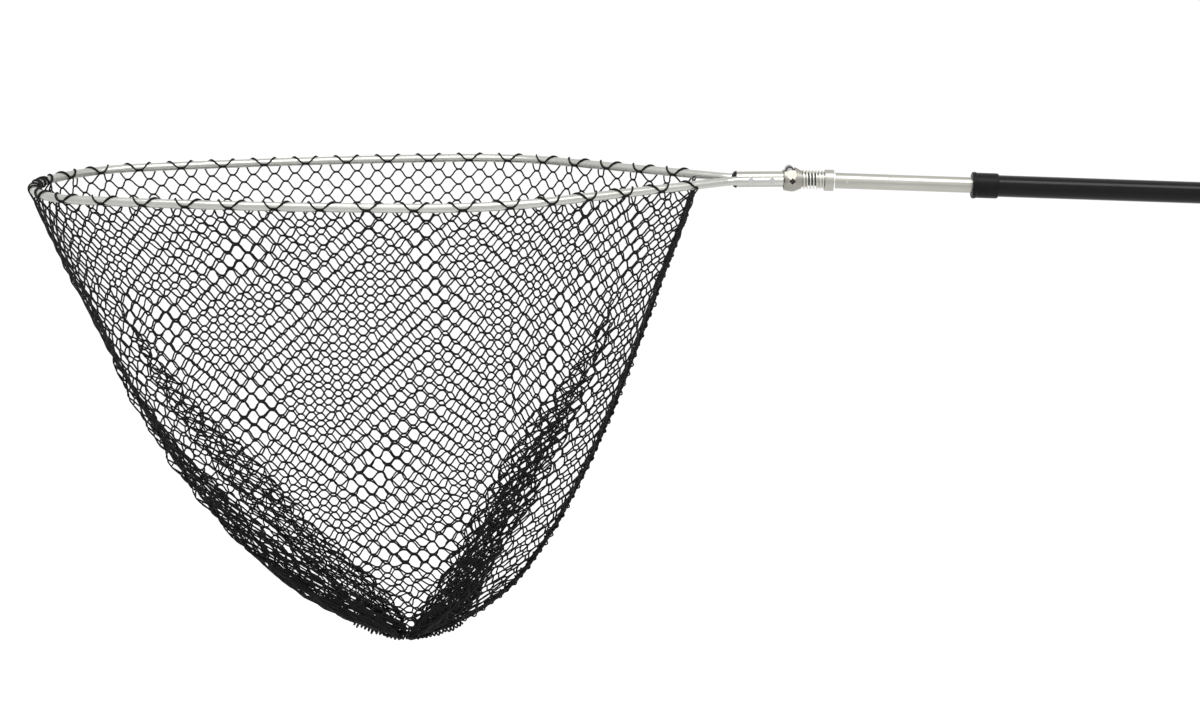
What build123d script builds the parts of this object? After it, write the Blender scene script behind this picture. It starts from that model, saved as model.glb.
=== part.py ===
from build123d import *
import math
import os

# Folding landing net: a bent tube hoop on a spring-locked hinge, a telescopic pole and a gripped handle.
# Units are millimetres. X runs along the handle with the butt at +X, Z is up, and the hoop is at -X.
# The origin is on the handle's axis, in the middle of the plain end of the grip.

# Handle
handle_od = 25.0
handle_wall = 1.2
handle_length = 640.0
grip_od = 32.0
grip_length = 220.0
grip_plain = 100.0
grip_groove_depth = 1.2
grip_groove_pitch = 14.0
grip_grooves = 6
grip_tail = 10.0
grip_chamfer = 2.5
trim_length = 7.0
trim_od = 29.0
trim_round = 1.4
butt_wall = 9.0
butt_plug_length = 26.0
butt_flange = 2.0
butt_round = 4.0

# Twist lock at the handle's mouth
collar_od = 29.0
collar_lip_od = 30.6
collar_lip_length = 4.0
collar_length = 30.0
collar_lap = 8.0
collar_front_wall = 3.0
collar_rear_chamfer = 0.6
collar_rear_taper = 1.2
collar_lip_slope = 1.5
collar_lip_chamfer = 1.0
nose_inside = 26.0
nose_recess = 5.0
cone_rim_wall = 1.5
cone_taper = 2.5
nose_bore_play = 0.05
thread_height = 0.35
thread_pitch = 2.0
thread_turns = 4
thread_start = 2.0
thread_ridge = 1.0
thread_sink = 0.5
collet_length = 10.0
collet_slots = 4
collet_slot_width = 1.6
collet_slot_share = 0.75
collet_slot_depth = 8.0
collet_nose_step = 1.0

# Pole
pole_od = 18.0
pole_wall = 1.2
pole_exposed = 158.0
pole_stored = 470.0
tail_bush_length = 24.0
tail_bush_play = 0.05
tail_pin_od = 3.0
tail_bush_end = 3.0

# Spring lock
seat_od = 24.5
seat_length = 12.0
seat_ring_od = 25.4
seat_ring_length = 1.6
seat_chamfer = 0.8
seat_ring_round = 0.6
spring_od = 22.4
spring_wire = 1.8
spring_length = 26.0
spring_turns = 6.5
sleeve_stroke = 12.0
sleeve_corner_od = 31.0
sleeve_neck_od = 17.2
sleeve_neck_bore = 14.0
sleeve_wall = 2.3
sleeve_nose = 6.0
sleeve_widest = 3.5
sleeve_cone = 14.5
sleeve_length = 26.0
sleeve_window = 5.6
sleeve_window_drop = 1.0
sleeve_sides = 6
sleeve_front_step = 2.6
sleeve_rear_step = 0.8
sleeve_draft = 0.6
sleeve_inner_cone = 4.5
ear_slot_bottom = 2.0
ear_slot_room = 1.0
tang_slot_bottom = 8.9

# Hinge
pin_height = 10.5
pin_od = 4.0
pin_head_od = 6.4
pin_head_height = 0.7
knuckle_od = 10.0
ear_thickness = 3.5
core_play = 0.05
hinge_play = 0.05
side_play = 0.2
fork_pin_od = 3.0
rear_fork_pin = 14.0
fork_tail = 24.0
stop_reach = 4.5
stop_gap = 1.0
block_length = 2.5
block_radius = 9.5
block_cone = 4.0
web_front = 2.0
web_bottom = -6.0
tang_thickness = 8.0
tang_bottom = -5.0
tang_plug_length = 22.0
tang_flange = 1.0
yoke_wall = 1.2
yoke_length = 53.0
yoke_cap_dome = 5.5
yoke_cap_plug = 9.0
yoke_cap_wall = 0.8
yoke_cap_profile = ((0.45, 0.9), (0.85, 0.55))
head_droop = 2.3

# Hoop: a chain of tangent arcs from the tip to the neck, in plan
hoop_od = 10.0
hoop_wall = 1.2
tip_radius, tip_turn = 180.0, 40.0
corner_radius, corner_turn = 95.0, 30.0
side_radius, side_turn = 1400.0, 16.0
shoulder_radius, shoulder_turn = 190.0, 43.0
throat_radius = 35.0
arm_length = 45.0
arm_end_gap = 7.8
rivet_od = 4.0
rivet_head_od = 7.5
rivet_head_height = 1.2
rivet_pitch = 24.0
rivet_end_gap = 13.0

# Net
bag_depth = 554.0
bag_wall = 2.5
bag_mouth_length = 761.0
toe_shift = 36.0
toe_drift = 2.4
toe_level = 0.98
mouth_steps = 12
mouth_corners = (0.8, 0.4)
bag_lap = 2.0
bag_levels = (0, 0.16, 0.34, 0.52, 0.68, 0.82, 0.92)
seam_levels = (0, 0.12, 0.28, 0.45, 0.62, 0.78, 0.9, 0.97)
seam_bend_share = 0.45
seam_od = 6.0
toe_knot_od = 46.0
toe_knot_height = 26.0
toe_knot_lap = 4.0
toe_knot_round = 10.4

# Clearances
gap = 0.3
slip = 0.05
pole_front_gap = 1.0
through_cut = 60.0

# Places along X, from the butt to the hoop
butt_x = grip_plain / 2 + grip_tail
mouth_x = butt_x - handle_length
collar_front_x = mouth_x + collar_lap - collar_length
seat_rear_x = collar_front_x - pole_exposed
seat_front_x = seat_rear_x - seat_length
spring_front_x = seat_front_x - spring_length
sleeve_front_x = spring_front_x - sleeve_length + (sleeve_length - sleeve_cone - sleeve_nose)
hinge_x = sleeve_front_x + sleeve_nose
pole_front_x = sleeve_front_x + sleeve_length + sleeve_stroke + pole_front_gap
pole_tail_x = collar_front_x + pole_stored
arm_end_x = hinge_x - arm_end_gap
arm_y = (pole_od + hoop_od) / 2
yoke_front_x = arm_end_x - yoke_length
tail_pin_x = pole_tail_x - tail_bush_length / 2
fork_pin_places = (seat_front_x + seat_length / 2, seat_rear_x + rear_fork_pin)
rivet_places = (arm_end_x - rivet_end_gap, arm_end_x - rivet_end_gap - rivet_pitch)
nose_front_x = collar_front_x + collar_front_wall + nose_recess
collet_front_x = collar_front_x + collar_front_wall + gap
stop_x = hinge_x + stop_reach
block_x = stop_x + stop_gap
block_rear_x = block_x + block_length
bag_top = bag_lap - hoop_od / 2

# Bores that other pieces fit in
handle_bore = handle_od - 2 * handle_wall
pole_bore = pole_od - 2 * pole_wall
yoke_bore = pole_od - 2 * yoke_wall
nose_bore = pole_od + 2 * nose_bore_play
cone_mouth_od = handle_od - 2 * cone_rim_wall
cone_root_od = cone_mouth_od - cone_taper
core_od = sleeve_neck_bore - 2 * core_play


def turned(outline):
    # Solid of revolution about the X axis from (x, radius) points.
    face = make_face(Polyline(*outline, close=True))
    return revolve(face, Axis.X, 360)


def ring(x_low, x_high, outer_od, inner_od):
    return turned([
        (x_low, inner_od / 2), (x_high, inner_od / 2), (x_high, outer_od / 2), (x_low, outer_od / 2),
    ])


def rod(x_low, x_high, od):
    return turned([(x_low, 0), (x_high, 0), (x_high, od / 2), (x_low, od / 2)])


def cross_rod(od, width, x, z):
    return Pos(x, 0, z) * Rot(90, 0, 0) * Cylinder(od / 2, width)


def front_rim(body):
    # The outermost circle on the hoop side of a turned body.
    return body.edges().filter_by(GeomType.CIRCLE).group_by(Axis.X)[0].sort_by(SortBy.RADIUS)[-1]


# Handle pieces

def make_handle_tube():
    return ring(mouth_x, butt_x, handle_od, handle_bore)


def make_grip():
    front = butt_x - grip_length
    body = ring(front, butt_x, grip_od, handle_od)
    body = chamfer(front_rim(body), grip_chamfer)
    first = -grip_plain / 2 - grip_groove_pitch
    for number in range(grip_grooves):
        x = first - number * grip_groove_pitch
        body -= turned([
            (x - grip_groove_depth * 2, grip_od / 2 + gap), (x, grip_od / 2 - grip_groove_depth),
            (x + grip_groove_depth * 2, grip_od / 2 + gap),
        ])
    return body


def make_grip_trim():
    front = butt_x - grip_length
    body = ring(front - trim_length, front, trim_od, handle_od)
    return fillet(front_rim(body), trim_round)


def make_butt_plug():
    flange = rod(butt_x, butt_x + butt_flange, handle_od)
    return flange + rod(butt_x - butt_plug_length, butt_x, handle_bore)


def make_butt_cap():
    body = rod(butt_x, butt_x + butt_wall, grip_od) - rod(butt_x, butt_x + butt_flange, handle_od)
    return fillet(body.edges().filter_by(GeomType.CIRCLE).group_by(Axis.X)[-1], butt_round)


# Twist lock pieces

def make_nose_bush():
    outside = rod(nose_front_x, mouth_x, handle_od)
    body = outside + rod(mouth_x, mouth_x + nose_inside, handle_bore)
    for turn in range(thread_turns):
        x = mouth_x - thread_start - turn * thread_pitch
        ridge_od = handle_od + 2 * thread_height
        body += ring(x - thread_ridge / 2, x + thread_ridge / 2, ridge_od, handle_od - 2 * thread_sink)
    cone = turned([
        (nose_front_x, 0), (nose_front_x, cone_mouth_od / 2),
        (collet_front_x + collet_length, cone_root_od / 2), (collet_front_x + collet_length, 0),
    ])
    return body - cone - rod(nose_front_x, mouth_x + nose_inside, nose_bore)


def make_collet():
    root = collet_front_x + collet_length
    body = turned([
        (collet_front_x, nose_bore / 2), (root, nose_bore / 2), (root, cone_root_od / 2),
        (nose_front_x, cone_mouth_od / 2), (collet_front_x, cone_mouth_od / 2 - collet_nose_step),
    ])
    for number in range(collet_slots):
        slot = Box(2 * collet_length * collet_slot_share, collet_slot_width, collet_slot_depth)
        body -= Rot((number + 0.5) * 360 / collet_slots, 0, 0) * Pos(collet_front_x, 0, pole_od / 2) * slot
    return body


def make_twist_collar():
    rear = collar_front_x + collar_length
    lip = collar_front_x + collar_lip_length
    bore_r = handle_od / 2 + thread_height + gap
    inner = collar_front_x + collar_front_wall
    body = turned([
        (collar_front_x, pole_od / 2 + gap), (inner, pole_od / 2 + gap), (inner, bore_r), (rear, bore_r),
        (rear, collar_od / 2 - collar_rear_chamfer), (rear - collar_rear_taper, collar_od / 2),
        (lip + collar_lip_slope, collar_od / 2), (lip, collar_lip_od / 2),
        (collar_front_x + collar_lip_chamfer, collar_lip_od / 2),
        (collar_front_x, collar_lip_od / 2 - collar_lip_chamfer),
    ])
    return body


# Pole pieces

def make_pole_tube():
    body = ring(pole_front_x, pole_tail_x, pole_od, pole_bore)
    for x in fork_pin_places:
        body -= cross_rod(fork_pin_od, through_cut, x, 0)
    return body - cross_rod(tail_pin_od, through_cut, tail_pin_x, 0)


def make_tail_bush():
    outside = handle_bore - 2 * tail_bush_play
    sleeve = ring(pole_tail_x - tail_bush_length, pole_tail_x, outside, pole_od)
    end = rod(pole_tail_x, pole_tail_x + tail_bush_end, outside)
    return sleeve + end - cross_rod(tail_pin_od, through_cut, tail_pin_x, 0)


def make_tail_pin():
    return cross_rod(tail_pin_od, handle_bore - 2 * gap, tail_pin_x, 0)


def make_fork_pins():
    return [cross_rod(fork_pin_od, pole_od - 2 * gap, x, 0) for x in fork_pin_places]


def make_spring_seat():
    rear = seat_rear_x - seat_ring_length
    body = turned([
        (seat_front_x, pole_od / 2), (rear, pole_od / 2), (rear, seat_od / 2),
        (seat_front_x + seat_chamfer, seat_od / 2), (seat_front_x, seat_od / 2 - seat_chamfer),
    ])
    return body


def make_seat_ring():
    body = ring(seat_rear_x - seat_ring_length, seat_rear_x, seat_ring_od, pole_od)
    return fillet(body.edges().filter_by(GeomType.CIRCLE).sort_by(SortBy.RADIUS)[-2:], seat_ring_round)


def make_lock_spring():
    travel = spring_length - spring_wire - 2 * slip
    radius = (spring_od - spring_wire) / 2
    path = Helix(travel / spring_turns, travel, radius, direction=(1, 0, 0))
    path = Pos(spring_front_x + spring_wire / 2 + slip, 0, 0) * path
    section = Plane(origin=path @ 0, z_dir=path % 0) * Circle(spring_wire / 2)
    return sweep(section, path)


def make_hinge_pin():
    half = tang_thickness / 2 + side_play + ear_thickness
    shank = cross_rod(pin_od, 2 * half, hinge_x, pin_height)
    for side in (1, -1):
        head = cross_rod(pin_head_od, pin_head_height, hinge_x, pin_height)
        shank += Pos(0, side * (half + pin_head_height / 2), 0) * head
    return shank


def make_hinge_fork():
    tail_x = seat_rear_x + fork_tail
    body = turned([
        (block_x, 0), (block_x, block_radius), (block_rear_x, block_radius),
        (block_rear_x + block_cone, core_od / 2), (pole_front_x, core_od / 2), (pole_front_x, pole_bore / 2),
        (tail_x, pole_bore / 2), (tail_x, 0),
    ])
    web_x = hinge_x - web_front
    inner = tang_thickness / 2 + side_play
    for side in (1, -1):
        y = side * (inner + ear_thickness / 2)
        eye = Pos(0, y, 0) * cross_rod(knuckle_od, ear_thickness, hinge_x, pin_height)
        web = Pos((web_x + block_x) / 2, y, (pin_height + web_bottom) / 2)
        web = web * Box(block_x - web_x, ear_thickness, pin_height - web_bottom)
        body += eye + web
    body -= cross_rod(pin_od, through_cut, hinge_x, pin_height)
    for x in fork_pin_places:
        body -= cross_rod(fork_pin_od, through_cut, x, 0)
    return body


def make_lock_sleeve():
    rear = sleeve_front_x + sleeve_length
    wide_r = sleeve_corner_od / 2
    neck_x = hinge_x + sleeve_cone
    outer = turned([
        (sleeve_front_x, 0), (sleeve_front_x, wide_r - sleeve_front_step), (hinge_x + sleeve_widest, wide_r),
        (neck_x, spring_od / 2 - sleeve_rear_step), (neck_x, sleeve_neck_od / 2),
        (rear, sleeve_neck_od / 2), (rear, 0),
    ])
    flats = sleeve_corner_od * math.cos(math.pi / sleeve_sides)
    hexagon = Plane.YZ * RegularPolygon(flats / 2, sleeve_sides, major_radius=False, rotation=0)
    outer = outer & (Pos(sleeve_front_x, 0, 0) * extrude(hexagon, sleeve_length))
    hollow_r = flats / 2 - sleeve_wall
    step = block_rear_x + gap
    hollow = turned([
        (sleeve_front_x, 0), (sleeve_front_x, hollow_r), (step, hollow_r - sleeve_draft),
        (step + sleeve_inner_cone, sleeve_neck_bore / 2), (rear, sleeve_neck_bore / 2), (rear, 0),
    ])
    body = outer - hollow
    ear_slot_width = tang_thickness + 2 * (side_play + ear_thickness + pin_head_height + 2 * gap)
    ear_rear = hinge_x + knuckle_od / 2 + ear_slot_room
    ear_slot = Box(ear_rear - sleeve_front_x, ear_slot_width, wide_r)
    body -= Pos((sleeve_front_x + ear_rear) / 2, 0, wide_r / 2 + ear_slot_bottom) * ear_slot
    tang_slot = Box(sleeve_cone + sleeve_nose, tang_thickness + 4 * gap, wide_r)
    body -= Pos((sleeve_front_x + neck_x) / 2, 0, wide_r / 2 + tang_slot_bottom) * tang_slot
    window = Rot(0, 45, 0) * Box(sleeve_window, through_cut, sleeve_window)
    return body - Pos(hinge_x + sleeve_widest, 0, -sleeve_window_drop) * window


# Head pieces

def drooped(shape):
    # The head hangs a little below the pole's line, about the hinge pin.
    return Pos(hinge_x, 0, pin_height) * Rot(0, -head_droop, 0) * Pos(-hinge_x, 0, -pin_height) * shape


def hoop_half():
    # Arcs from the tip to the neck on the +Y side, starting at (0, 0) and heading along +Y.
    edges = []
    start, heading = Vector(0, 0), Vector(0, 1)
    chain = [(tip_radius, tip_turn), (corner_radius, corner_turn), (side_radius, side_turn),
             (shoulder_radius, shoulder_turn)]
    for radius, turn in chain:
        arc = JernArc(start, heading, radius, -turn)
        edges.append(arc)
        start, heading = arc @ 1, arc % 1
    slope = math.radians(tip_turn + corner_turn + side_turn + shoulder_turn - 90)
    straight = (start.Y - arm_y - throat_radius * (1 - math.cos(slope))) / math.sin(slope)
    neck = Line(start, start + heading * straight)
    throat = JernArc(neck @ 1, heading, throat_radius, math.degrees(slope))
    return edges + [neck, throat]


half_edges = hoop_half()
throat_end_x = (half_edges[-1] @ 1).X
tip_x = arm_end_x - arm_length - throat_end_x


def hoop_path():
    arm = Line(half_edges[-1] @ 1, Vector(throat_end_x + arm_length, arm_y))
    upper = Wire(half_edges + [arm])
    lower = mirror(upper, about=Plane.XZ)
    return Pos(tip_x, 0, 0) * Wire(list(reversed(upper.edges())) + list(lower.edges()))


def make_hoop_tube():
    path = hoop_path()
    profile = Circle(hoop_od / 2) - Circle(hoop_od / 2 - hoop_wall)
    section = Plane(origin=path @ 0, z_dir=path % 0) * profile
    body = sweep(section, path)
    for rivet in straight_rivets():
        body -= rivet
    return drooped(body)


def straight_rivets():
    # Each rivet runs through both arms and the yoke tube between them, with a domed head at each end.
    half = arm_y + hoop_od / 2
    rivets = []
    for x in rivet_places:
        rivet = cross_rod(rivet_od, 2 * half, x, 0)
        for side in (1, -1):
            rivet += Pos(0, side * half, 0) * cross_rod(rivet_head_od, rivet_head_height, x, 0)
        rivets.append(rivet)
    return rivets


def make_yoke_rivets():
    return [drooped(rivet) for rivet in straight_rivets()]


def make_yoke_tube():
    body = ring(yoke_front_x, arm_end_x, pole_od, yoke_bore)
    for x in rivet_places:
        body -= cross_rod(rivet_od, through_cut, x, 0)
    return drooped(body)


def make_yoke_tang():
    height = pin_height - tang_bottom
    plate = Box(stop_x - arm_end_x, tang_thickness, height)
    plate = Pos((arm_end_x + stop_x) / 2, 0, tang_bottom + height / 2) * plate
    plug = rod(arm_end_x - tang_plug_length, arm_end_x, yoke_bore)
    flange = rod(arm_end_x, arm_end_x + tang_flange, pole_od)
    body = plug + flange + plate + cross_rod(knuckle_od, tang_thickness, hinge_x, pin_height)
    body -= cross_rod(pin_od + 2 * hinge_play, through_cut, hinge_x, pin_height)
    return drooped(body - cross_rod(rivet_od, through_cut, rivet_places[0], 0))


def make_yoke_cap():
    dome_r = pole_od / 2 + yoke_cap_wall
    face = yoke_front_x - yoke_cap_wall
    outline = [(yoke_front_x, 0), (yoke_front_x, dome_r), (face, dome_r)]
    for reach, radius in yoke_cap_profile:
        outline.append((face - yoke_cap_dome * reach, dome_r * radius))
    dome = turned(outline + [(face - yoke_cap_dome, 0)])
    return drooped(dome + rod(yoke_front_x, yoke_front_x + yoke_cap_plug, yoke_bore))


# Net pieces. A bag section is the mouth's outline, shortened and narrowed to a parabola with depth.

def neck_cut():
    # The spot on the neck where the net's mouth turns across from one arm to the other.
    neck = half_edges[-2]
    share = (bag_mouth_length - (neck @ 0).X) / ((neck @ 1).X - (neck @ 0).X)
    return neck @ share


def mouth_points(inset):
    wire = Wire(half_edges)
    corner = neck_cut()
    last = (wire.length - half_edges[-1].length - (corner - (half_edges[-2] @ 1)).length) / wire.length
    points = []
    for number in range(1, mouth_steps):
        share = last * number / mouth_steps
        points.append(wire.position_at(share) + wire.tangent_at(share).rotate(Axis.Z, -90) * inset)
    for share in mouth_corners:
        points.append(Vector(bag_mouth_length - inset, corner.Y * share))
    mirrored = [Vector(p.X, -p.Y) for p in reversed(points)]
    return [Vector(inset, 0)] + points + mirrored


def bag_centre(level):
    return bag_mouth_length / 2 + toe_shift * level ** toe_drift


def bag_section(level, inset, z):
    shrink = math.sqrt(1 - level)
    middle = bag_centre(level)
    placed = []
    for point in mouth_points(inset):
        x = tip_x + middle + (point.X - bag_mouth_length / 2) * shrink
        placed.append(Vector(x, point.Y * shrink, z))
    return make_face(Spline(*placed, periodic=True))


def bag_solid(inset, lift):
    sections = []
    for level in bag_levels + (toe_level,):
        sections.append(bag_section(level, inset / math.sqrt(1 - level), lift - level * bag_depth))
    return loft(sections)


def make_net_bag():
    outer = bag_solid(0, bag_top)
    inner = bag_solid(bag_wall, bag_top + bag_wall)
    return drooped(outer - inner)


def seam_path():
    # The laced seam runs down the handle side of the bag, from the throat to the toe.
    points = []
    for level in seam_levels:
        half = bag_mouth_length / 2 * math.sqrt(1 - level)
        x = tip_x + bag_centre(level) + half + seam_od / 2
        points.append(Vector(x, 0, bag_top - level * bag_depth))
    return points


def make_seam_cord():
    points = seam_path()
    radii = []
    for before, here, after in zip(points, points[1:], points[2:]):
        run = min((here - before).length, (after - here).length)
        turn = math.radians((here - before).get_angle(after - here))
        radii.append(seam_bend_share * run / math.tan(turn / 2))
    path = FilletPolyline(*points, radius=radii)
    section = Plane(origin=path @ 0, z_dir=path % 0) * Circle(seam_od / 2)
    return drooped(sweep(section, path))


def make_toe_knot():
    z = bag_top - bag_depth * toe_level
    block = Cylinder(toe_knot_od / 2, toe_knot_height)
    block = fillet(block.edges(), toe_knot_round)
    return drooped(Pos(tip_x + bag_centre(1), 0, z - toe_knot_height / 2 + toe_knot_lap) * block)


pieces = {
    "handle_tube": make_handle_tube,
    "foam_grip": make_grip,
    "grip_trim": make_grip_trim,
    "butt_plug": make_butt_plug,
    "butt_cap": make_butt_cap,
    "nose_bush": make_nose_bush,
    "collet": make_collet,
    "twist_collar": make_twist_collar,
    "pole_tube": make_pole_tube,
    "tail_bush": make_tail_bush,
    "tail_pin": make_tail_pin,
    "fork_pins": make_fork_pins,
    "spring_seat": make_spring_seat,
    "seat_ring": make_seat_ring,
    "lock_spring": make_lock_spring,
    "hinge_pin": make_hinge_pin,
    "hinge_fork": make_hinge_fork,
    "lock_sleeve": make_lock_sleeve,
    "hoop_tube": make_hoop_tube,
    "yoke_tube": make_yoke_tube,
    "yoke_tang": make_yoke_tang,
    "yoke_cap": make_yoke_cap,
    "yoke_rivets": make_yoke_rivets,
    "net_bag": make_net_bag,
    "seam_cord": make_seam_cord,
    "toe_knot": make_toe_knot,
}

os.makedirs("parts", exist_ok=True)
for node, make in pieces.items():
    made = make()
    solids = made if isinstance(made, list) else made.solids()
    shape = solids[0] if len(solids) == 1 else Compound(children=list(solids))
    export_step(shape, "parts/" + node + ".step")
    print(node, len(solids), round(sum(solid.volume for solid in solids), 1))
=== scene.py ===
import bpy
import bmesh
import math
import random
from mathutils import Matrix, Vector


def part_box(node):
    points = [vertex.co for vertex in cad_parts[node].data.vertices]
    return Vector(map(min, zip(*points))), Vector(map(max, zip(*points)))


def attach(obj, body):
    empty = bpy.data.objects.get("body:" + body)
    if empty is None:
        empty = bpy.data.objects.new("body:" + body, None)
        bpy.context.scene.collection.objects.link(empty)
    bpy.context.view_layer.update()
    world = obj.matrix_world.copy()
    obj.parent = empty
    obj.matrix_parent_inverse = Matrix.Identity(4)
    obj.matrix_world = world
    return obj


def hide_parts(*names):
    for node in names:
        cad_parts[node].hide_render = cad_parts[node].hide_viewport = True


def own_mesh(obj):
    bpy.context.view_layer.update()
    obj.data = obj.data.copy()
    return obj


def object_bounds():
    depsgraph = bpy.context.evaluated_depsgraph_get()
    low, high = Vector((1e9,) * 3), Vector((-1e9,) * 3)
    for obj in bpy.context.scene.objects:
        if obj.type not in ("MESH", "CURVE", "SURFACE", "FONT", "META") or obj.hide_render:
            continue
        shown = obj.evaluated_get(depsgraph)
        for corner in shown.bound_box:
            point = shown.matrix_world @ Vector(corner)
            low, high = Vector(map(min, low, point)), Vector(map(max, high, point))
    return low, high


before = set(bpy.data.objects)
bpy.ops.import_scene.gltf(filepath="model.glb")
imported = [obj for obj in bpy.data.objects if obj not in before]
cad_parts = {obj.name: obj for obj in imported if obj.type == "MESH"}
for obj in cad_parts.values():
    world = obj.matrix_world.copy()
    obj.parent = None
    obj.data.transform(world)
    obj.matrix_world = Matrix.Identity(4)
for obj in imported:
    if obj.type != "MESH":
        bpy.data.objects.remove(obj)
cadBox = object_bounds()
print("frame loaded")

tiny = 1e-9
mixSockets = {"share": 0, "first": 6, "second": 7, "result": 2}  # a colour Mix node's own sockets


class Link:
    # one output of a material's node: sums and products on it add the Math nodes
    def __init__(self, finish, socket):
        self.finish = finish
        self.socket = socket

    def maths(self, operation, first, second):
        return self.finish.node("ShaderNodeMath", {"operation": operation}, {0: first, 1: second})

    def __add__(self, other):
        return self.maths("ADD", self, other)

    def __radd__(self, other):
        return self.maths("ADD", other, self)

    def __sub__(self, other):
        return self.maths("SUBTRACT", self, other)

    def __rsub__(self, other):
        return self.maths("SUBTRACT", other, self)

    def __mul__(self, other):
        return self.maths("MULTIPLY", self, other)

    def __rmul__(self, other):
        return self.maths("MULTIPLY", other, self)


class Finish:
    # a material with its nodes
    def __init__(self, name, settings):
        self.material = bpy.data.materials.new(name)
        self.material.use_nodes = True
        self.tree = self.material.node_tree
        self.shader = self.tree.nodes["Principled BSDF"]
        for socket, value in settings.items():
            self.shader.inputs[socket].default_value = value
        self.place = self.node("ShaderNodeTexCoord", {}, {}, "Object")

    def node(self, kind, settings, inputs, output=0):
        made = self.tree.nodes.new(kind)
        for name, value in settings.items():
            setattr(made, name, value)
        for name, value in inputs.items():
            if isinstance(value, Link):
                self.tree.links.new(value.socket, made.inputs[name])
            else:
                made.inputs[name].default_value = value
        return Link(self, made.outputs[output])

    def noise(self, scale, detail, along=(1.0, 1.0, 1.0)):
        stretched = self.node("ShaderNodeMapping", {}, {"Vector": self.place, "Scale": along})
        return self.node("ShaderNodeTexNoise", {}, {"Vector": stretched, "Scale": scale, "Detail": detail})

    def cells(self, scale):
        return self.node("ShaderNodeTexVoronoi", {}, {"Vector": self.place, "Scale": scale})

    def level(self, value, low, high, outLow, outHigh):
        return self.node("ShaderNodeMapRange", {}, {
            "Value": value, "From Min": low, "From Max": high, "To Min": outLow, "To Max": outHigh})

    def spread(self, noise, outLow, outHigh):
        # a noise's usual range as another range
        return self.level(noise, wear["noiseLow"], wear["noiseHigh"], outLow, outHigh)

    def patches(self, noise, low, high):
        # the few places where a noise is high
        return self.level(noise, low, high, 0.0, 1.0)

    def tint(self, mask, first, second):
        sockets = mixSockets
        return self.node("ShaderNodeMix", {"data_type": "RGBA"},
                         {sockets["share"]: mask, sockets["first"]: first, sockets["second"]: second},
                         sockets["result"])

    def bumps(self, height, distance):
        bump = self.node("ShaderNodeBump", {}, {"Height": height, "Distance": distance, "Strength": 1.0})
        self.feed("Normal", bump)

    def feed(self, socket, link):
        self.tree.links.new(link.socket, self.shader.inputs[socket])


def grey(value):
    return (value, value, value, 1.0)


wear = {
    "noiseLow": 0.3,  # a noise's usual lowest and highest value
    "noiseHigh": 0.7,
    "coarse": 2.0,  # how much detail each noise has
    "medium": 3.0,
    "fine": 4.0,
    "veryFine": 5.0,
    "scratched": 6.0,
    "rubStretch": 0.4,  # rubs, scuffs and fibres are stretched along X or Z
    "scuffStretch": 0.25,
    "fibreStretch": 0.35,
    "rubLow": 0.58,  # the noise where a rub or scuff starts and is full
    "rubHigh": 0.72,
    "scuffLow": 0.6,
    "scuffHigh": 0.74,
    "scuffTint": 0.25,
    "scuffRough": 0.12,
    "pitSize": 0.25,
    "coatRough": 0.12,
    "half": 0.5,  # shares of each texture in a colour or a height
    "plasticClouds": 0.6,
    "cloudTint": 0.7,
    "grainTint": 0.3,
    "poreHeight": 0.6,
    "poreGrain": 0.4,
    "castGrain": 0.7,
    "castPits": 0.3,
}


def drawnMetal(name, look):
    # a drawn or polished metal: fine lines along X, soft cloudy patches and a few rubbed spots
    finish = Finish(name, {"Metallic": 1.0})
    lines = finish.noise(look["lines"], wear["fine"], (look["stretch"], 1.0, 1.0))
    clouds = finish.noise(look["clouds"], wear["coarse"])
    rubbing = finish.noise(look["rubs"], wear["veryFine"], (wear["rubStretch"], 1.0, 1.0))
    rubs = finish.patches(rubbing, wear["rubLow"], wear["rubHigh"])
    tone = finish.spread(lines * wear["half"] + clouds * wear["half"], 0.0, 1.0)
    finish.feed("Base Color", finish.tint(tone, look["dark"], look["light"]))
    finish.feed("Roughness", finish.spread(lines, look["smooth"], look["rough"]) + rubs * look["rubbed"])
    finish.bumps(lines, look["height"])
    return finish.material


def mouldedPlastic(name, look):
    # a hard plastic or lacquer: fine grain and a few scuffs along X
    finish = Finish(name, {
        "Specular IOR Level": look["gloss"],
        "Coat Roughness": wear["coatRough"],
        "Coat Weight": look["coat"],
    })
    grain = finish.noise(look["grain"], wear["fine"])
    clouds = finish.noise(look["clouds"], wear["medium"])
    scuffing = finish.noise(look["scuffs"], wear["scratched"], (wear["scuffStretch"], 1.0, 1.0))
    scuffs = finish.patches(scuffing, wear["scuffLow"], wear["scuffHigh"])
    tone = clouds * wear["plasticClouds"] + scuffs * wear["scuffTint"]
    finish.feed("Base Color", finish.tint(tone, look["dark"], look["light"]))
    rough = finish.spread(grain, look["smooth"], look["rough"])
    finish.feed("Roughness", rough + scuffs * wear["scuffRough"])
    finish.bumps(grain, look["height"])
    return finish.material


def foamRubber(name, look):
    # foam or rubber: pores and grain
    finish = Finish(name, {"Specular IOR Level": look["gloss"], "Sheen Weight": look["sheen"]})
    pores = finish.cells(look["pores"])
    grain = finish.noise(look["grain"], wear["veryFine"])
    clouds = finish.noise(look["clouds"], wear["coarse"])
    tone = clouds * wear["cloudTint"] + grain * wear["grainTint"]
    finish.feed("Base Color", finish.tint(tone, look["dark"], look["light"]))
    finish.feed("Roughness", finish.spread(grain, look["smooth"], look["rough"]))
    finish.bumps(pores * wear["poreHeight"] + grain * wear["poreGrain"], look["height"])
    return finish.material


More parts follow.
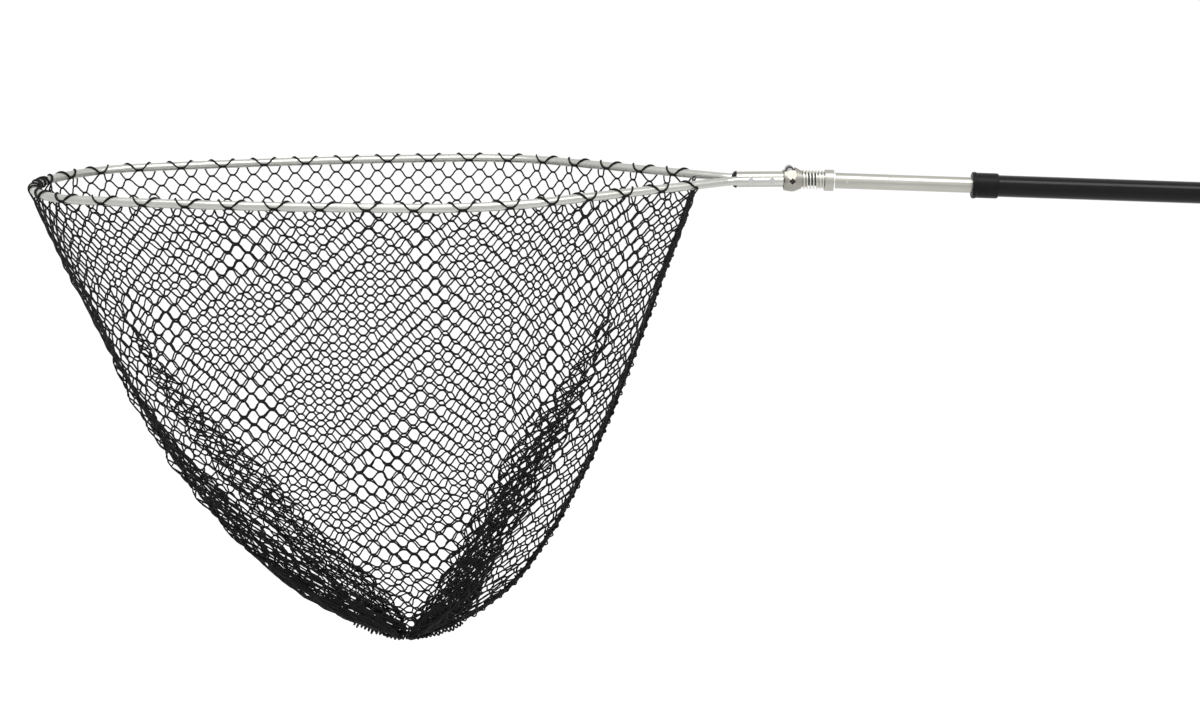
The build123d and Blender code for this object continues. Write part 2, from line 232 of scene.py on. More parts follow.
def castMetal(name, look):
    # a cast metal: grain and small pits
    finish = Finish(name, {"Metallic": 1.0})
    grain = finish.noise(look["grain"], wear["veryFine"])
    pits = finish.level(finish.cells(look["pits"]), 0.0, wear["pitSize"], 0.0, 1.0)
    clouds = finish.noise(look["clouds"], wear["medium"])
    tone = clouds * wear["cloudTint"] + grain * wear["grainTint"]
    finish.feed("Base Color", finish.tint(tone, look["dark"], look["light"]))
    finish.feed("Roughness", finish.spread(grain, look["smooth"], look["rough"]))
    finish.bumps(grain * wear["castGrain"] + pits * wear["castPits"], look["height"])
    return finish.material


def twistedCord(name, look):
    # filament yarn: fine fibres and paler rubbed patches
    finish = Finish(name, {"Specular IOR Level": look["gloss"]})
    fibres = finish.noise(look["fibres"], wear["medium"], (1.0, 1.0, wear["fibreStretch"]))
    clouds = finish.noise(look["clouds"], wear["medium"])
    tone = fibres * wear["half"] + clouds * wear["half"]
    finish.feed("Base Color", finish.tint(tone, look["dark"], look["light"]))
    finish.feed("Roughness", finish.spread(fibres, look["smooth"], look["rough"]))
    finish.bumps(fibres, look["height"])
    return finish.material


# scales are in textures per metre, heights in metres
finishes = {
    "gloss_black_tube": mouldedPlastic("glossBlack", {
        "coat": 0.06, "gloss": 0.14, "grain": 90.0, "clouds": 6.0, "scuffs": 60.0, "height": 0.00002,
        "dark": grey(0.0015), "light": grey(0.004), "smooth": 0.20, "rough": 0.27}),
    "black_plastic": mouldedPlastic("satinBlack", {
        "coat": 0.0, "gloss": 0.1, "grain": 900.0, "clouds": 30.0, "scuffs": 120.0, "height": 0.00008,
        "dark": grey(0.002), "light": grey(0.007), "smooth": 0.34, "rough": 0.46}),
    "rubber_cap": foamRubber("rubber", {
        "gloss": 0.35, "sheen": 0.15, "pores": 1500.0, "grain": 700.0, "clouds": 20.0, "height": 0.00006,
        "dark": grey(0.012), "light": grey(0.026), "smooth": 0.75, "rough": 0.92}),
    "foam": foamRubber("gripFoam", {
        "gloss": 0.35, "sheen": 0.15, "pores": 1100.0, "grain": 420.0, "clouds": 25.0, "height": 0.00025,
        "dark": grey(0.016), "light": grey(0.038), "smooth": 0.75, "rough": 0.92}),
    "nylon": mouldedPlastic("whiteNylon", {
        "coat": 0.0, "gloss": 0.5, "grain": 500.0, "clouds": 20.0, "scuffs": 80.0, "height": 0.00005,
        "dark": grey(0.55), "light": grey(0.7), "smooth": 0.4, "rough": 0.55}),
    "satin_aluminium": drawnMetal("satinAluminium", {
        "lines": 700.0, "stretch": 0.02, "clouds": 14.0, "rubs": 90.0, "rubbed": 0.08, "height": 0.00002,
        "dark": (0.33, 0.325, 0.295, 1.0), "light": (0.42, 0.415, 0.38, 1.0), "smooth": 0.30, "rough": 0.38}),
    "bright_ring": drawnMetal("brightRing", {
        "lines": 500.0, "stretch": 1.0, "clouds": 30.0, "rubs": 120.0, "rubbed": 0.05, "height": 0.00001,
        "dark": grey(0.72), "light": grey(0.8), "smooth": 0.12, "rough": 0.2}),
    "steel": drawnMetal("steel", {
        "lines": 500.0, "stretch": 1.0, "clouds": 60.0, "rubs": 200.0, "rubbed": 0.1, "height": 0.00002,
        "dark": grey(0.42), "light": grey(0.56), "smooth": 0.22, "rough": 0.34}),
    "spring_steel": drawnMetal("springSteel", {
        "lines": 900.0, "stretch": 1.0, "clouds": 60.0, "rubs": 200.0, "rubbed": 0.08, "height": 0.00002,
        "dark": (0.50, 0.495, 0.455, 1.0), "light": (0.64, 0.635, 0.59, 1.0), "smooth": 0.26, "rough": 0.36}),
    "cast_alloy": castMetal("castAlloy", {
        "grain": 600.0, "pits": 900.0, "clouds": 60.0, "height": 0.00006,
        "dark": (0.23, 0.225, 0.20, 1.0), "light": (0.35, 0.34, 0.305, 1.0), "smooth": 0.38, "rough": 0.52}),
    # cast alloy painted dark grey as painted shade, so the hinge fork reads as the shadow seen between the
    # spring's coils
    "painted_shade_alloy": castMetal("paintedShadeAlloy", {
        "grain": 600.0, "pits": 900.0, "clouds": 60.0, "height": 0.00006,
        "dark": grey(0.05), "light": grey(0.10), "smooth": 0.34, "rough": 0.46}),
    "hoop_aluminium": drawnMetal("hoopAluminium", {
        "lines": 600.0, "stretch": 0.05, "clouds": 9.0, "rubs": 70.0, "rubbed": 0.08, "height": 0.00002,
        "dark": (0.40, 0.40, 0.375, 1.0), "light": (0.50, 0.50, 0.47, 1.0), "smooth": 0.28, "rough": 0.36}),
    "net_cord": twistedCord("netCord", {
        "gloss": 0.1, "fibres": 1600.0, "clouds": 18.0, "height": 0.00025,
        "dark": grey(0.002), "light": grey(0.008), "smooth": 0.5, "rough": 0.72}),
    "seam_cord": twistedCord("seamCord", {
        "gloss": 0.1, "fibres": 1200.0, "clouds": 40.0, "height": 0.0003,
        "dark": grey(0.002), "light": grey(0.007), "smooth": 0.5, "rough": 0.72}),
}

nodeFinish = {
    "handle_tube": "gloss_black_tube",
    "foam_grip": "foam",
    "grip_trim": "black_plastic",
    "butt_plug": "black_plastic",
    "butt_cap": "rubber_cap",
    "nose_bush": "nylon",
    "collet": "nylon",
    "twist_collar": "black_plastic",
    "pole_tube": "satin_aluminium",
    "tail_bush": "nylon",
    "tail_pin": "steel",
    "fork_pins": "steel",
    "spring_seat": "satin_aluminium",
    "seat_ring": "bright_ring",
    "hinge_pin": "steel",
    # the hinge fork's dark grey is painted shade for the gaps between the spring's coils
    "hinge_fork": "painted_shade_alloy",
    "lock_sleeve": "cast_alloy",
    "hoop_tube": "hoop_aluminium",
    "yoke_tube": "satin_aluminium",
    "yoke_tang": "cast_alloy",
    "yoke_cap": "black_plastic",
    "yoke_rivets": "steel",
}

for nodeName, finishName in nodeFinish.items():
    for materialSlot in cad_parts[nodeName].material_slots:
        materialSlot.material = finishes[finishName]
print("metal and plastic finishes set")

head = {
    "arcs": ((0.180, 40.0), (0.095, 30.0), (1.400, 16.0), (0.190, 43.0)),  # radius and turn, tip to throat
    "tube": 0.010,
    "throatRadius": 0.035,
    "armY": 0.014,
    "mouthLength": 0.761,
    "droop": 2.3,
    "step": 0.002,  # between points along the hoop's centre line
    "gapSteps": 12,  # across the throat, where the net has no tube to hang on
}

# headFrame takes the hoop's own flat plane, with its tip at the origin, to where the head droops
hingeLow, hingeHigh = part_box("hinge_pin")
hinge = (hingeLow + hingeHigh) / 2
droop = math.radians(-head["droop"])
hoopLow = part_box("hoop_tube")[0]
tipX = hinge.x + (hoopLow.x + head["tube"] / 2 - hinge.x + hinge.z * math.sin(droop)) / math.cos(droop)
headFrame = (Matrix.Translation(Vector((hinge.x, 0.0, hinge.z))) @ Matrix.Rotation(droop, 4, "Y")
             @ Matrix.Translation(Vector((tipX - hinge.x, 0.0, -hinge.z))))


def hoopSide():
    # points along one side of the hoop's centre line, tip to throat, each with its outward direction
    points = []
    x, y, heading = 0.0, 0.0, math.pi / 2
    for radius, turn in head["arcs"]:
        centreX = x + radius * math.sin(heading)
        centreY = y - radius * math.cos(heading)
        count = round(radius * math.radians(turn) / head["step"])
        for i in range(count):
            way = heading - math.radians(turn) * i / count
            points.append((centreX - radius * math.sin(way), centreY + radius * math.cos(way),
                           -math.sin(way), math.cos(way)))
        heading -= math.radians(turn)
        x = centreX - radius * math.sin(heading)
        y = centreY + radius * math.cos(heading)
    slope = -heading
    run = (y - head["armY"] - head["throatRadius"] * (1 - math.cos(slope))) / math.sin(slope)
    count = round(run / head["step"])
    for i in range(count + 1):
        points.append((x + run * i / count * math.cos(heading), y + run * i / count * math.sin(heading),
                       -math.sin(heading), math.cos(heading)))
    return [p for p in points if p[0] <= head["mouthLength"]]


def mouthLoop():
    # the net's mouth as a loop from the throat along the near side to the tip and back on the far side
    side = hoopSide()
    near = [(x, -y, outX, -outY, 1.0) for x, y, outX, outY in reversed(side)]
    far = [(x, y, outX, outY, 1.0) for x, y, outX, outY in side[1:]]
    x, y = side[-1][0], side[-1][1]
    steps = head["gapSteps"]
    gap = [(x, y * (1 - 2 * i / steps), 1.0, 0.0, 0.0) for i in range(1, steps)]
    half = steps // 2
    loop = gap[half - 1:] + near + far + gap[:half - 1]
    lengths = [0.0]
    for a, b in zip(loop, loop[1:] + loop[:1]):
        lengths.append(lengths[-1] + math.hypot(b[0] - a[0], b[1] - a[1]))
    return loop, lengths


mouth, mouthLengths = mouthLoop()
widest = max(p[1] for p in mouth)


def mouthAt(share):
    # the mouth's point at a share of its length: x, y, outward x and y, and whether it is on the tube
    want = (share % 1.0) * mouthLengths[-1]
    low, high = 0, len(mouth)
    while high - low > 1:
        middle = (low + high) // 2
        if mouthLengths[middle] <= want:
            low = middle
        else:
            high = middle
    a, b = mouth[low], mouth[(low + 1) % len(mouth)]
    t = (want - mouthLengths[low]) / max(tiny, mouthLengths[low + 1] - mouthLengths[low])
    return [p + (q - p) * t for p, q in zip(a, b)]


netting = {
    "columns": 76,
    "rows": 31,  # whole meshes from mouth to toe
    "halfWide": 0.0114,
    "halfTall": 0.0094,
    "cord": 0.0020,
    "level": 0.062,  # how far a cord runs level each way at a knot, as a share of four half columns
    "bend": 0.20,  # how far the bend beside a knot reaches along a bar
    "shortBend": 0.3,  # and how far along the level run
    "nestle": 0.9,  # how close the two cords at a knot lie, as a share of touching
    "knotAngle": -25.0,  # where the first knots sit on the hoop's tube
    "drop": 0.004,  # how far below the hoop's plane the bag starts
    "narrowing": 1.15,  # how much faster the bag narrows than it shortens
    "toeLong": 0.110,
    "toeWide": 0.016,
    "toeCentre": 0.4165,
    "toeDepth": 0.541,
    "toeSmile": 0.014,  # how much higher the ends of the gathered toe sit
    "smileLate": 4,  # how late in its depth the bag takes up the toe's curve
    "drift": 2.4,  # how late the bag's middle moves over to the toe
    "ripple": 0.006,
    "ripples": 13,
    "rippleSway": 2.0,  # the ripples wander sideways as they run down and round
    "swayDown": 5,
    "swayRound": 9,
    "wallByLength": 0.8,  # how far a wall's length follows the bag's length, and its width
    "wallByWidth": 0.2,
    "slackTop": 0.0003,  # how unevenly the knots hang, at the mouth and more at the toe
    "slackToe": 0.0009,
    "weld": 0.0001,
    "frames": 16,
    "seed": 11,
    "bands": 4,  # pieces that the net is made in, from mouth to toe
    "smooth": 3,
}
pleats = {
    "tip": {"strip": 0.062, "reach": 0.072},  # unfolded strip at an end of the bag, then the pleat's reach
    "throat": {"strip": 0.090, "reach": 0.066},
    "stripShare": 0.38,  # the most of half a wall that a strip may take
    "layerGap": 0.009,
    "layerStart": 3,  # the pleat's layers are full apart a third of the way down
}
halfColumns = 2 * netting["columns"]
halfRows = 2 * netting["rows"]
columnPitch = 2 * netting["halfWide"]


def scaleAt(depth):
    # how far the bag has drawn in at a depth: along the head and across it
    drawn = math.sqrt(max(0.0, 1.0 - depth))
    long = math.hypot(drawn, netting["toeLong"] / head["mouthLength"])
    wide = math.hypot(drawn ** netting["narrowing"], netting["toeWide"] / (2 * widest))
    return min(1.0, long), min(1.0, wide)


def bagPoint(share, depth):
    # a smooth bag with no folds
    x, y, outX, outY, onTube = mouthAt(share)
    long, wide = scaleAt(depth)
    middle = head["mouthLength"] / 2
    centre = middle + (netting["toeCentre"] - middle) * depth ** netting["drift"]
    ends = (2 * x / head["mouthLength"] - 1) ** 2
    smile = netting["toeSmile"] * ends * depth ** netting["smileLate"]
    z = -netting["drop"] - netting["toeDepth"] * depth + smile
    return Vector((centre + (x - middle) * long, y * wide, z))


levels = {
    "count": 400,
    "near": 0.25,  # shares of the mouth: the near wall, the tip and the throat
    "tip": 0.5,
    "throat": 0.0,
    "wallWeight": 0.6,
    "endWeight": 0.2,
}


def levelTable():
    # depths that space the rows evenly down the bag's walls
    count = levels["count"]
    lines = ((levels["near"], levels["wallWeight"]), (levels["tip"], levels["endWeight"]),
             (levels["throat"], levels["endWeight"]))
    run = [0.0]
    for i in range(count):
        step = 0.0
        for share, weight in lines:
            step += weight * (bagPoint(share, (i + 1) / count) - bagPoint(share, i / count)).length
        run.append(run[-1] + step)
    return [length / run[-1] for length in run]


levelShares = levelTable()


def depthAt(rowShare):
    for i in range(len(levelShares) - 1):
        if levelShares[i + 1] >= rowShare:
            t = (rowShare - levelShares[i]) / max(tiny, levelShares[i + 1] - levelShares[i])
            return (i + t) / (len(levelShares) - 1)
    return 1.0


def folded(reach, wallHalf, pleat, naturalHalf):
    # where a column lies along its wall: flat in the middle, then a pleat, then a flat strip at the end.
    # reach is the column's distance from the wall's middle along the cloth; gives the place and the layer.
    spare = naturalHalf - wallHalf
    if spare <= 0.0:
        return reach * wallHalf / naturalHalf, 0.0
    start = wallHalf - min(pleat["strip"], wallHalf * pleats["stripShare"])
    if reach <= start:
        return reach, 0.0
    if reach >= start + spare:
        return reach - spare, 2.0
    turned = (reach - start) / (spare / 2)
    back = turned if turned < 1 else 2 - turned
    return start - back * min(spare / 2, pleat["reach"]), turned


def rimKnot(share):
    # a knot of the first row, on the outer or inner side of the hoop's tube by turns
    x, y, outX, outY, onTube = mouthAt(share)
    side = 1 if round(share * netting["columns"]) % 2 == 0 else -1
    angle = math.radians(netting["knotAngle"])
    reach = (head["tube"] + netting["cord"]) / 2
    out = side * reach * math.cos(angle) * onTube
    return Vector((x + outX * out, y + outY * out, reach * math.sin(angle)))


def knotPlace(share, row):
    # a knot of the hanging bag, in the hoop's own plane
    if row == 0:
        return rimKnot(share)
    rowShare = row / halfRows
    depth = depthAt(rowShare)
    long, wide = scaleAt(depth)
    wallHalf = mouthLengths[-1] / 4 * (netting["wallByLength"] * long + netting["wallByWidth"] * wide)
    naturalHalf = netting["columns"] / 4 * columnPitch
    wallMiddle = 0.25 if share < 0.5 else 0.75  # the near wall, then the far wall
    offset = share - wallMiddle  # from -0.25 to 0.25
    pleat = pleats["tip" if (offset > 0) == (wallMiddle == 0.25) else "throat"]
    place, layer = folded(abs(offset) * 4 * naturalHalf, wallHalf, pleat, naturalHalf)
    along = math.copysign(place / wallHalf * 0.25, offset)
    point = bagPoint(wallMiddle + along, depth)
    inward = -1.0 if point.y > 0 or wallMiddle == 0.75 else 1.0
    shift = layer * pleats["layerGap"] * wide * min(1.0, rowShare * pleats["layerStart"])
    sway = netting["rippleSway"] * math.sin(rowShare * netting["swayDown"] + share * netting["swayRound"])
    wave = math.sin(share * math.tau * netting["ripples"] + sway)
    limit = max(0.0, abs(point.y) - netting["cord"])
    sideways = inward * min(shift, limit) + netting["ripple"] * rowShare * wave * wide ** 0.5
    return point + Vector((0.0, sideways, 0.0))


def knotSheet():
    # the net as a sheet of diamonds: every edge is one bar of cord between two knots
    chance = random.Random(netting["seed"])
    bm = bmesh.new()
    bmesh.ops.create_grid(bm, x_segments=netting["columns"], y_segments=netting["rows"], size=0.5)
    bmesh.ops.poke(bm, faces=bm.faces[:])
    column = bm.verts.layers.int.new("column")
    row = bm.verts.layers.int.new("row")
    for v in bm.verts:
        v[column] = round((v.co.x + 0.5) * halfColumns)
        v[row] = round((0.5 - v.co.y) * halfRows)
    for v in bm.verts:
        v.co = knotPlace((v[column] % halfColumns) / halfColumns, v[row])
    seam = [v for v in bm.verts if v[column] in (0, halfColumns)]
    bmesh.ops.remove_doubles(bm, verts=seam, dist=netting["weld"])
    for v in bm.verts:
        v[column] %= halfColumns
        if 0 < v[row] < halfRows:
            slack = netting["slackTop"] + netting["slackToe"] * v[row] / halfRows
            v.co += Vector((chance.gauss(0, slack), chance.gauss(0, slack), chance.gauss(0, slack)))
    spare = [e for e in bm.edges if abs(e.verts[0][row] - e.verts[1][row]) != 1 and not e.is_boundary]
    bmesh.ops.dissolve_edges(bm, edges=spare, use_verts=False)
    bm.verts.index_update()
    places = {(v[row], v[column]): v.index for v in bm.verts}
    mesh = bpy.data.meshes.new("netSheet")
    bm.to_mesh(mesh)
    bm.free()
    sheet = bpy.data.objects.new("netSheet", mesh)
    bpy.context.scene.collection.objects.link(sheet)
    return sheet, places


clothRules = {
    "quality": 8,
    "mass": 0.002,
    "air_damping": 2.0,
    "tension_stiffness": 10.0,
    "compression_stiffness": 5.0,
    "shear_stiffness": 1.0,
    "bending_model": "LINEAR",
    "bending_stiffness": 0.01,
}


def hangNet():
    # lets the sheet of knots settle from the hoop, and gives back where each knot comes to rest
    sheet, places = knotSheet()
    sheet.shape_key_add(name="Basis")
    natural = sheet.shape_key_add(name="natural")
    radius = halfColumns * netting["halfWide"] / math.tau
    for (r, c), index in places.items():
        turn = math.tau * c / halfColumns
        natural.data[index].co = (radius * math.cos(turn), radius * math.sin(turn), -r * netting["halfTall"])
    natural.value = 0.0
    held = sheet.vertex_groups.new(name="held")
    held.add([i for (r, c), i in places.items() if r in (0, halfRows)], 1.0, "REPLACE")
    cloth = sheet.modifiers.new("hang", "CLOTH")
    cloth.point_cache.frame_start = 1
    cloth.point_cache.frame_end = netting["frames"]
    cloth.settings.rest_shape_key = natural
    cloth.settings.vertex_group_mass = "held"
    for rule, value in clothRules.items():
        setattr(cloth.settings, rule, value)
    cloth.collision_settings.use_collision = False
    scene = bpy.context.scene
    for f in range(1, netting["frames"] + 1):
        scene.frame_set(f)
    shaped = sheet.evaluated_get(bpy.context.evaluated_depsgraph_get()).to_mesh()
    settled = {key: shaped.vertices[index].co.copy() for key, index in places.items()}
    bpy.data.objects.remove(sheet)
    scene.frame_set(1)
    return settled


knots = hangNet()
print("net hung")


cording = {
    "roundness": 1,
    "rimSmooth": 4,
    "windSmooth": 3,
    "windOrder": 4,
    "perTurn": 8,
}


def curveObject(name, thickness, fine):
    curve = bpy.data.curves.new(name, "CURVE")
    curve.dimensions = "3D"
    curve.bevel_depth = thickness / 2
    curve.bevel_resolution = cording["roundness"]
    curve.resolution_u = fine
    curve.use_fill_caps = True
    made = bpy.data.objects.new(name, curve)
    bpy.context.scene.collection.objects.link(made)
    return made


def toMesh(made, material, place=headFrame):
    # turns a finished curve into a mesh piece in the object's own place
    shaped = bpy.data.meshes.new_from_object(made.evaluated_get(bpy.context.evaluated_depsgraph_get()))
    name = made.name
    bpy.data.objects.remove(made)
    shaped.transform(place)
    shaped.materials.clear()
    shaped.materials.append(material)
    for face in shaped.polygons:
        face.use_smooth = True
    piece = bpy.data.objects.new(name, shaped)
    bpy.context.scene.collection.objects.link(piece)
    return piece


def waveSpots(upper):
    # where one cord runs round the net, up and down between two rows of knots, with two spots at each knot
    spots = []
    radius = netting["cord"] / 2 * netting["nestle"]
    for c in range(halfColumns):
        r = upper if c % 2 == upper % 2 else upper + 1
        here = knots[(r, c)]
        left = (c - 1) % halfColumns
        right = (c + 1) % halfColumns
        along = knots[(r, (c + 2) % halfColumns)] - knots[(r, (c - 2) % halfColumns)]
        above = knots[(r - 1, left)] + knots[(r - 1, right)] if r > 0 else here * 2
        below = knots[(r + 1, left)] + knots[(r + 1, right)] if r < halfRows else here * 2
        down = (below - above).normalized()
        place = here + down * (radius if r == upper else -radius)
        spots += [place - along * netting["level"], place + along * netting["level"]]
    return spots


def addWave(made, upper):
    spots = waveSpots(upper)
    spline = made.data.splines.new("BEZIER")
    spline.bezier_points.add(len(spots) - 1)
    spline.use_cyclic_u = True
    for i, spot in enumerate(spots):
        back = spots[i - 1] - spot
        on = spots[(i + 1) % len(spots)] - spot
        way = (on.normalized() - back.normalized()).normalized()
        reaches = [back.length * netting["bend"], on.length * netting["shortBend"]]
        if i % 2 == 1:
            reaches = [back.length * netting["shortBend"], on.length * netting["bend"]]
        point = spline.bezier_points[i]
        point.handle_left_type = "FREE"
        point.handle_right_type = "FREE"
        point.co = spot
        point.handle_left = spot - way * reaches[0]
        point.handle_right = spot + way * reaches[1]


netPieces = []
for band in range(netting["bands"]):
    first = halfRows * band // netting["bands"]
    last = halfRows * (band + 1) // netting["bands"]
    cords = curveObject(f"net_band_{band + 1}", netting["cord"], netting["smooth"])
    for upper in range(first, last):
        addWave(cords, upper)
    netPieces.append(toMesh(cords, finishes["net_cord"]))
print("net corded")

rimTie = {
    "rise": 12.0,  # how far the cord has turned round the tube soon after a knot, in degrees
    "risen": 0.14,  # and where that is, as a share of the way to the next knot
    "stations": ((0.30, 22.0), (0.42, 58.0), (0.5, 90.0), (0.58, 122.0), (0.70, 158.0)),
    "lift": 0.0009,  # how far the cord stands off the first knots
    "gapDrop": 0.003,  # how low it hangs across the throat
    "onTube": 0.5,
}


def rimLacing():
    # the cord that ties the first knots over the hoop's tube, from the outer side to the inner side and back:
    # each station is a share of the way to the next knot and an angle round the tube
    made = curveObject("rim_lacing", netting["cord"], cording["rimSmooth"])
    reach = (head["tube"] + netting["cord"]) / 2
    low = netting["knotAngle"]
    rise, risen = rimTie["rise"], rimTie["risen"]
    stations = ((0.0, low), (risen, low + rise), *rimTie["stations"], (1 - risen, 180.0 - rise - low))
    spots = []
    for c in range(netting["columns"]):
        for forward, angle in stations:
            turned = math.radians(angle if c % 2 == 0 else 180.0 - angle)
            x, y, outX, outY, onTube = mouthAt((c + forward) / netting["columns"])
            across = reach * math.cos(turned) * onTube
            up = reach * math.sin(turned) + (rimTie["lift"] if forward == 0.0 else 0.0)
            height = up if onTube > rimTie["onTube"] else -rimTie["gapDrop"]
            spots.append(Vector((x + outX * across, y + outY * across, height)))
    spline = made.data.splines.new("BEZIER")
    spline.bezier_points.add(len(spots) - 1)
    spline.use_cyclic_u = True
    for point, place in zip(spline.bezier_points, spots):
        point.co = place
        point.handle_left_type = "AUTO"
        point.handle_right_type = "AUTO"
    return toMesh(made, finishes["net_cord"])


rim = rimLacing()

lacing = {
    "strand": 0.0032,
    "strandOut": 0.0017,
    "strandWander": 0.12,
    "strands": 3,
    "twistPitch": 0.019,
    "whip": 0.0019,
    "whipOut": 0.0043,
    "whipPitch": 0.0125,
    "whipWander": 0.30,
    "seamTop": Vector((0.004, 0.0, 0.012)),  # from the second row of knots to just under the hoop
    "alongToe": 0.9,  # how much of the toe the seam runs along, and how much its binding covers
    "boundToe": 1.15,
    "toeBind": 0.0024,
    "toeOut": 0.0080,
    "toePitch": 0.0046,
    "toeWander": 0.22,
    "toeDrop": 0.007,
    "toeSteps": 12,
    "seamStep": 0.004,
    "toeStep": 0.003,
    "sweeps": 3,  # times that a path is smoothed
    "tipTurns": 3,
    "tipHalfLength": 0.021,
    "tipWander": 0.04,
    "tipSteps": 24,
    "tipPerTurn": 12,
    "seed": 5,
}


def runLengths(points):
    # how far along a line of points each one is
    lengths = [0.0]
    for a, b in zip(points, points[1:]):
        lengths.append(lengths[-1] + (b - a).length)
    return lengths


def smoothPath(points, step):
    # evenly spaced points along a line of points, with its corners softened
    lengths = runLengths(points)
    count = max(2, round(lengths[-1] / step))
    path = []
    low = 0
    for i in range(count + 1):
        want = lengths[-1] * i / count
        while low < len(points) - 2 and lengths[low + 1] < want:
            low += 1
        t = (want - lengths[low]) / max(tiny, lengths[low + 1] - lengths[low])
        path.append(points[low].lerp(points[low + 1], min(1.0, max(0.0, t))))
    for sweep in range(lacing["sweeps"]):
        inner = [(a + b * 2 + c) / 4 for a, b, c in zip(path, path[1:], path[2:])]
        path = [path[0]] + inner + [path[-1]]
    return path


def windAround(name, path, out, pitch, phase, thickness, wander, seed, perTurn=cording["perTurn"]):
    # a cord wound round a path like a screw thread, a little unevenly
    chance = random.Random(seed)
    made = curveObject(name, thickness, cording["windSmooth"])
    lengths = runLengths(path)
    count = round(lengths[-1] / pitch * perTurn)
    normal = (path[1] - path[0]).orthogonal().normalized()
    spots = []
    low = 0
    turn = phase
    for i in range(count + 1):
        want = lengths[-1] * i / count
        while low < len(path) - 2 and lengths[low + 1] < want:
            low += 1
        t = (want - lengths[low]) / max(tiny, lengths[low + 1] - lengths[low])
        centre = path[low].lerp(path[low + 1], t)
        forward = (path[low + 1] - path[low]).normalized()
        normal = (normal - forward * normal.dot(forward)).normalized()
        side = forward.cross(normal)
        reach = out * (1 + chance.uniform(-wander, wander))
        spots.append(centre + (normal * math.cos(turn) + side * math.sin(turn)) * reach)
        turn += math.tau / perTurn * (1 + chance.uniform(-wander, wander))
    spline = made.data.splines.new("NURBS")
    spline.points.add(len(spots) - 1)
    spline.order_u = cording["windOrder"]
    spline.use_endpoint_u = True
    for point, place in zip(spline.points, spots):
        point.co = (*place, 1.0)
    return made


def knotAcross(row, column):
    # the middle between a knot and its mirror on the other wall
    return (knots[(row, column % halfColumns)] + knots[(row, -column % halfColumns)]) / 2


def seamLine():
    # down the throat end of the bag, from the hoop to the gathered toe
    down = [knotAcross(row, row % 2) for row in range(halfRows + 1)]
    down[0] = knotAcross(2, 0) + lacing["seamTop"]
    return down


def toeLine(share):
    # along the bottom of the gathered toe, from the throat end to the tip end
    half = netting["toeLong"] / 2 * share
    line = []
    for i in range(lacing["toeSteps"] + 1):
        part = 1 - 2 * i / lacing["toeSteps"]
        height = -lacing["toeDrop"] - netting["toeDepth"] + netting["toeSmile"] * (part * share) ** 2
        line.append(Vector((netting["toeCentre"] + half * part, 0.0, height)))
    return line


def makeSeam():
    path = smoothPath(seamLine()[:-1] + toeLine(lacing["alongToe"]), lacing["seamStep"])
    made = []
    for strand in range(lacing["strands"]):
        phase = strand * math.tau / lacing["strands"]
        made.append(windAround(f"seam_strand_{strand + 1}", path, lacing["strandOut"], lacing["twistPitch"],
                               phase, lacing["strand"], lacing["strandWander"], lacing["seed"]))
    made.append(windAround("seam_whipping", path, lacing["whipOut"], lacing["whipPitch"], 0.0,
                           lacing["whip"], lacing["whipWander"], lacing["seed"] + 1))
    return [toMesh(piece, finishes["seam_cord"]) for piece in made]


def makeToe():
    path = smoothPath(toeLine(lacing["boundToe"]), lacing["toeStep"])
    wound = windAround("toe_binding", path, lacing["toeOut"], lacing["toePitch"], 0.0, lacing["toeBind"],
                       lacing["toeWander"], lacing["seed"] + 2)
    return toMesh(wound, finishes["net_cord"])


def makeTipWraps():
    # a few turns of cord round the tube at the hoop's tip
    count = lacing["tipSteps"]
    long = 2 * lacing["tipHalfLength"]
    path = []
    for i in range(count + 1):
        x, y, outX, outY, onTube = mouthAt(0.5 + (i / count - 0.5) * long / mouthLengths[-1])
        path.append(Vector((x, y, 0.0)))
    reach = (head["tube"] + netting["cord"]) / 2
    wound = windAround("tip_wraps", path, reach, long / lacing["tipTurns"], 0.0, netting["cord"],
                       lacing["tipWander"], lacing["seed"] + 3, lacing["tipPerTurn"])
    return toMesh(wound, finishes["net_cord"])


spring = {
    "wire": 0.0019,
    "turns": 6.5,
    "travel": 0.012,  # how far the sleeve pushes it together
    "perTurn": 24,
    "roundness": 3,
}


def makeSpring():
    # the coil between sleeve and seat, as a mesh of its own that rides on the pole
    low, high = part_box("lock_spring")
    middle = (low + high) / 2
    radius = (high.z - low.z - spring["wire"]) / 2
    front = Vector((low.x + spring["wire"] / 2, middle.y, middle.z))
    rear = Vector((high.x - spring["wire"] / 2, middle.y, middle.z))
    coil = windAround("spring_coil", [front, rear], radius, (rear.x - front.x) / spring["turns"], 0.0,
                      spring["wire"], 0.0, lacing["seed"], spring["perTurn"])
    coil.data.bevel_resolution = spring["roundness"]
    made = toMesh(coil, finishes["spring_steel"], Matrix.Identity(4))
    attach(made, "pole")
    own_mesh(made)
    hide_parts("lock_spring")


makeSpring()
print("spring wound")

seamPieces = makeSeam()
toe = makeToe()
tipWraps = makeTipWraps()
print("seam, toe and tip bound")

for piece in netPieces + [rim, tipWraps, toe]:
    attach(piece, "head")
for piece in seamPieces:
    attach(piece, "head")
for piece in netPieces + seamPieces + [toe]:
    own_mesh(piece)
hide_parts("net_bag")
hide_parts("seam_cord")
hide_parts("toe_knot")
print("net pieces ride on the head")

studio = {
    "floorDrop": 0.55,
    "floorSize": 80.0,
    "floorMiddle": -0.8,
    "floorColour": grey(0.93),
    "floorRough": 0.9,
    "world": 1.1,
}

lights = {
    "topLight": {
        "place": (-0.75, -0.5, 0.95), "aim": (-0.75, 0.0, 0.0), "size": (2.8, 0.45), "power": 24.0},
    "frontLight": {
        "place": (-1.8, -3.4, 1.6), "aim": (-0.9, 0.0, -0.2), "size": (2.2, 1.6), "power": 12.0},
}


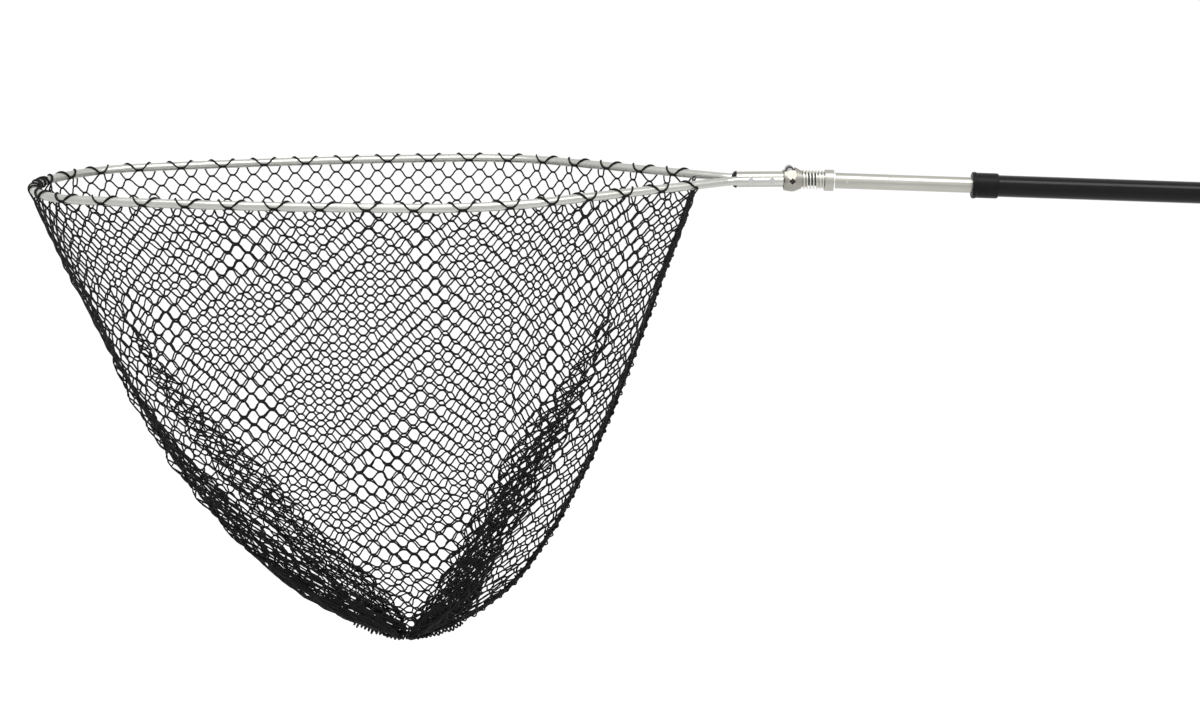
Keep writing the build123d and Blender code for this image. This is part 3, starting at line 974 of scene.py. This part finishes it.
def makeFloor():
    bm = bmesh.new()
    bmesh.ops.create_grid(bm, x_segments=1, y_segments=1, size=studio["floorSize"] / 2)
    height = cadBox[0].z - studio["floorDrop"]
    bmesh.ops.translate(bm, verts=bm.verts[:], vec=(studio["floorMiddle"], 0.0, height))
    mesh = bpy.data.meshes.new("floor")
    bm.to_mesh(mesh)
    bm.free()
    floor = bpy.data.objects.new("floor", mesh)
    bpy.context.scene.collection.objects.link(floor)
    paint = Finish("floorPaint", {"Base Color": studio["floorColour"], "Roughness": studio["floorRough"]})
    mesh.materials.append(paint.material)


def softLight(name, look):
    data = bpy.data.lights.new(name, "AREA")
    data.shape = "RECTANGLE"
    data.size = look["size"][0]
    data.size_y = look["size"][1]
    data.energy = look["power"]
    light = bpy.data.objects.new(name, data)
    light.location = look["place"]
    light.visible_camera = False
    light.rotation_euler = (Vector(look["aim"]) - Vector(look["place"])).to_track_quat("-Z", "Y").to_euler()
    bpy.context.scene.collection.objects.link(light)


makeFloor()
for lightName, look in lights.items():
    softLight(lightName, look)
world = bpy.data.worlds.new("studio")
world.use_nodes = True
world.node_tree.nodes["Background"].inputs["Color"].default_value = grey(1.0)
world.node_tree.nodes["Background"].inputs["Strength"].default_value = studio["world"]
bpy.context.scene.world = world

viewpoint = {
    "place": (-0.991, -2.686, 0.339),
    "pan": -0.0121,  # turns are in radians
    "pitch": 0.207,
    "roll": 0.0321,
    "lens": 70.1,
    "sensor": 36.0,
    "farthest": 200.0,
}


def makeCamera():
    data = bpy.data.cameras.new("camera")
    data.lens = viewpoint["lens"]
    data.sensor_width = viewpoint["sensor"]
    data.clip_end = viewpoint["farthest"]
    camera = bpy.data.objects.new("camera", data)
    pan = Matrix.Rotation(-viewpoint["pan"], 4, "Z")
    pitch = Matrix.Rotation(math.pi / 2 - viewpoint["pitch"], 4, "X")
    roll = Matrix.Rotation(viewpoint["roll"], 4, "Z")
    camera.matrix_world = Matrix.Translation(Vector(viewpoint["place"])) @ (pan @ pitch @ roll)
    bpy.context.scene.collection.objects.link(camera)
    bpy.context.scene.camera = camera


makeCamera()
bpy.context.scene.view_settings.view_transform = "Standard"
print("studio set")
